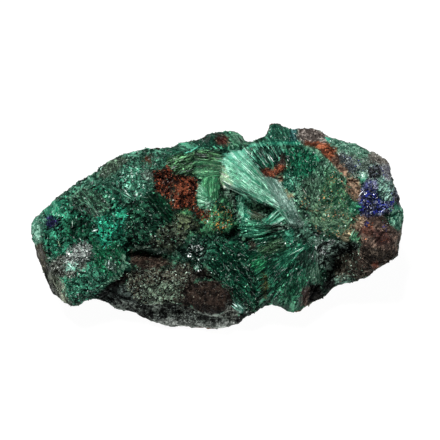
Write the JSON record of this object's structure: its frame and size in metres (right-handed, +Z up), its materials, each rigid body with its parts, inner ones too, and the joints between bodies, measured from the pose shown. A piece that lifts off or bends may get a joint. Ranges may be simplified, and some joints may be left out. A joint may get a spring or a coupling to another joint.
{
  "type": "mineral specimen",
  "caption": "Long broken hand specimen of azurite with malachite: fanned green fibres over brown matrix, a nest of blue crystals at one end, flat underneath to rest on.",
  "frame": {"origin": "middle of the bounding box's bottom, on the surface the specimen rests on", "axes": "+X along the specimen's length towards the end with the azurite crystals, +Z up, and the broken face with the fanned malachite looks towards -Y and up"},
  "size_m": [0.0902, 0.048, 0.044],
  "materials": {
    "mineral": "rough broken mineral, dark malachite green over brown limonite, silky where fibres lie bare"
  },
  "bodies": {
    "root": {"azurite_malachite_specimen": "mineral"}
  },
  "joints": []
}
